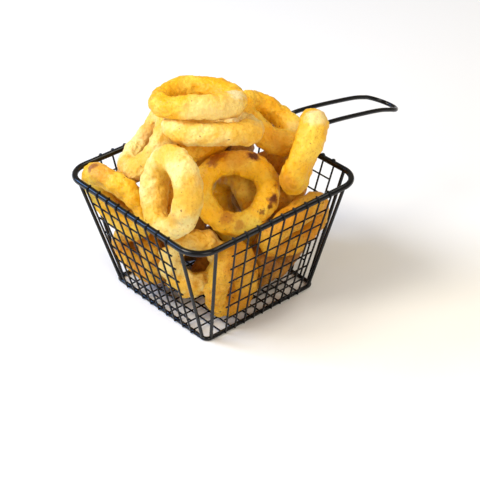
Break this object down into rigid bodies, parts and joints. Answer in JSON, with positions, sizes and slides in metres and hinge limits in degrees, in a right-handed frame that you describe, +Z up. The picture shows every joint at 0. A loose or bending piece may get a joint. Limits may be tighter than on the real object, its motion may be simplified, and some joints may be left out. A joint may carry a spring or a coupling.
{
  "type": "basket of onion rings",
  "caption": "Square wire serving basket with a long looped handle, piled high with golden battered onion rings.",
  "frame": {"origin": "middle of the whole object's outline seen from above, on the surface that the base wire stands on", "axes": "+X along the handle, away from the basket; +Y across the basket; +Z up"},
  "size_m": [0.2156, 0.1236, 0.1374],
  "materials": {
    "black_powder_coat": "satin",
    "fried_batter_gold": "crisp, slightly oily",
    "fried_batter_pale": "crisp, slightly oily",
    "fried_batter_brown": "crisp, slightly oily"
  },
  "bodies": {
    "root": {"rim_wire": "black_powder_coat", "base_wire": "black_powder_coat", "upright_1a": "black_powder_coat", "upright_1b": "black_powder_coat", "upright_2a": "black_powder_coat", "upright_2b": "black_powder_coat", "upright_3a": "black_powder_coat", "upright_3b": "black_powder_coat", "upright_4a": "black_powder_coat", "upright_4b": "black_powder_coat", "side_mesh_1": "black_powder_coat", "side_mesh_2": "black_powder_coat", "side_mesh_3": "black_powder_coat", "side_mesh_4": "black_powder_coat", "floor_mesh": "black_powder_coat", "handle": "black_powder_coat", "ring_crown": "fried_batter_gold", "ring_right_shoulder": "fried_batter_pale", "ring_second": "fried_batter_brown", "ring_left_shoulder": "fried_batter_gold", "ring_front_left": "fried_batter_pale", "ring_front": "fried_batter_brown", "ring_right_upright": "fried_batter_gold", "ring_left_rim": "fried_batter_pale", "ring_left_back": "fried_batter_brown", "ring_corner": "fried_batter_gold", "ring_corner_low": "fried_batter_pale", "ring_right_upper": "fried_batter_brown", "ring_right_lower": "fried_batter_gold", "ring_right_back": "fried_batter_pale", "ring_heart": "fried_batter_brown", "ring_under_crown": "fried_batter_gold", "ring_core_left": "fried_batter_pale", "ring_back": "fried_batter_brown", "ring_back_low": "fried_batter_gold", "ring_floor": "fried_batter_pale", "ring_left_low": "fried_batter_brown", "ring_floor_right": "fried_batter_gold", "ring_back_corner": "fried_batter_pale", "ring_left_inner": "fried_batter_brown", "ring_right_inner": "fried_batter_gold"}
  },
  "joints": []
}
